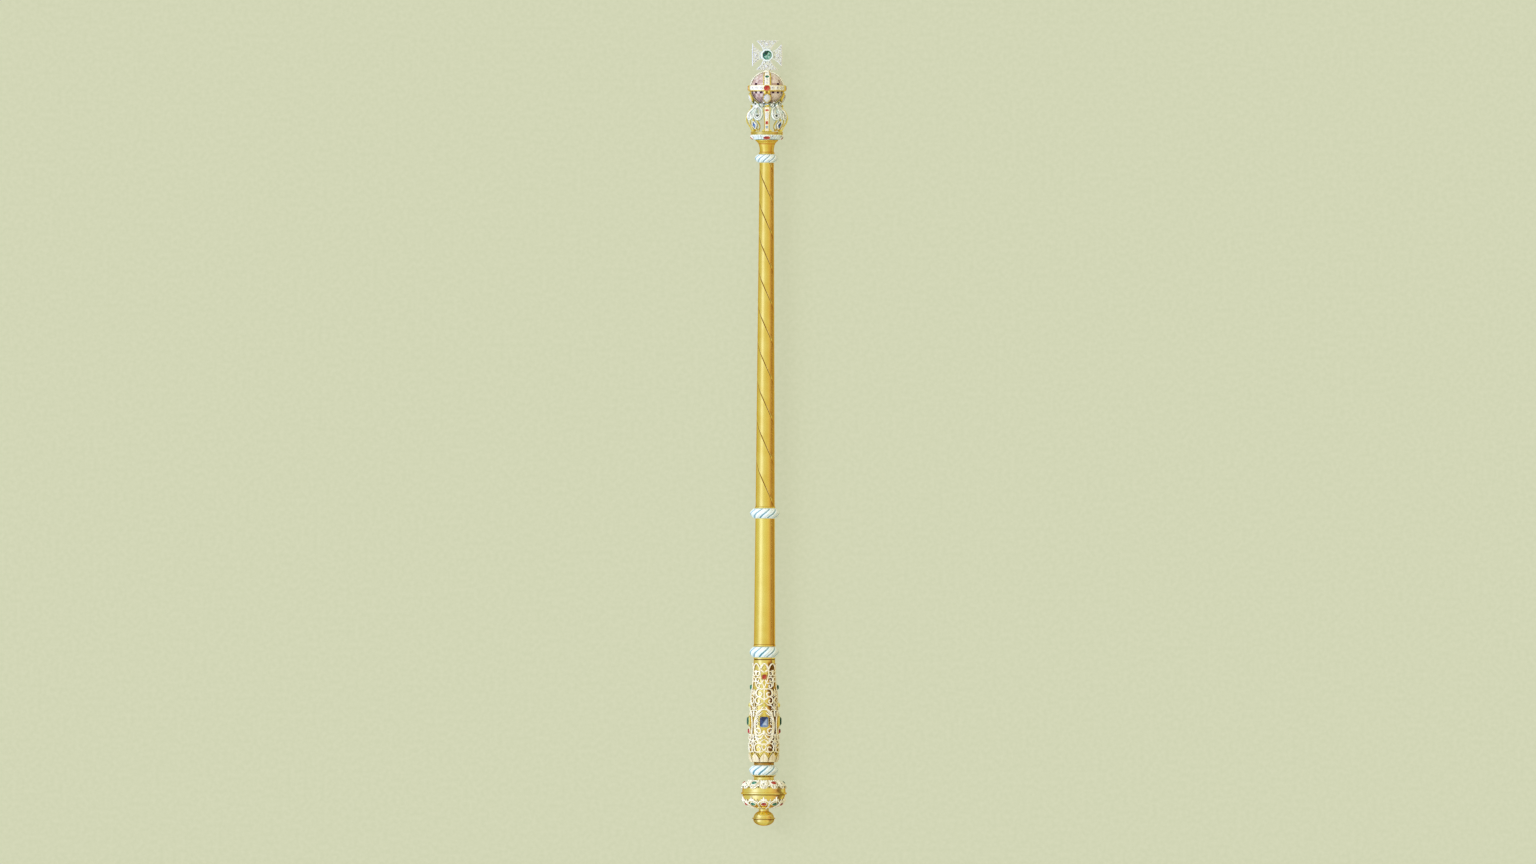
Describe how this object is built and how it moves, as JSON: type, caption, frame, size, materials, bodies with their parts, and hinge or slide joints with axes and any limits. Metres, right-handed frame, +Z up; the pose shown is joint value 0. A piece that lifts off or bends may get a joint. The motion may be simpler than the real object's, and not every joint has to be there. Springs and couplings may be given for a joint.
{
  "type": "jewelled sceptre",
  "caption": "Slender gold ceremonial rod with enamelled collars, a jewelled grip, a ball pommel and a head that carries a gem orb and a small cross.",
  "frame": {"origin": "centre of the bounding box at the level of the surface that the sceptre lies on", "axes": "+Y along the sceptre from its pommel to its cross, +Z up, out of its front, and +X to its right as seen from above with the cross at the top"},
  "size_m": [0.0494, 0.8446, 0.0486],
  "materials": {
    "gold": "polished",
    "silver": "polished, set with small stones",
    "enamel": "glossy fired enamel",
    "ruby": "cut stone",
    "emerald": "cut stone",
    "sapphire": "cut stone",
    "diamond": "cut stone",
    "amethyst": "faceted stone"
  },
  "bodies": {
    "root": {"amethyst_orb": "amethyst", "base_plate": "gold", "belt_ruby_back": "ruby", "belt_ruby_front": "ruby", "belt_ruby_left": "ruby", "belt_ruby_right": "ruby", "bracket_back": "enamel", "bracket_front": "enamel", "bracket_left": "enamel", "bracket_right": "enamel", "bracket_sapphire_back": "sapphire", "bracket_sapphire_front": "sapphire", "bracket_sapphire_left": "sapphire", "bracket_sapphire_right": "sapphire", "capital": "gold", "cross": "silver", "cross_emerald": "emerald", "cross_rear_stone": "diamond", "finial_ball": "gold", "grip_collar": "enamel", "grip_core": "gold", "grip_emerald_left": "emerald", "grip_emerald_right": "emerald", "grip_large_emerald_left": "emerald", "grip_large_emerald_right": "emerald", "grip_low_ruby_left": "ruby", "grip_low_ruby_right": "ruby", "grip_ruby_back": "ruby", "grip_ruby_front": "ruby", "grip_sapphire_back": "sapphire", "grip_sapphire_front": "sapphire", "grip_scrollwork": "enamel", "head_collar": "enamel", "jewelled_ring": "enamel", "orb_frame": "gold", "pear_diamond_back": "diamond", "pear_diamond_front": "diamond", "pear_diamond_left": "diamond", "pear_diamond_right": "diamond", "pommel": "gold", "pommel_collar": "enamel", "pommel_lower_mount": "enamel", "pommel_upper_mount": "enamel", "rib_back": "gold", "rib_front": "gold", "rib_left": "gold", "rib_right": "gold", "ring_ruby_back": "ruby", "ring_ruby_front": "ruby", "ring_ruby_left": "ruby", "ring_ruby_right": "ruby", "rod_collar": "enamel", "rod_lower": "gold", "rod_upper": "gold", "wreath": "enamel"}
  },
  "joints": []
}
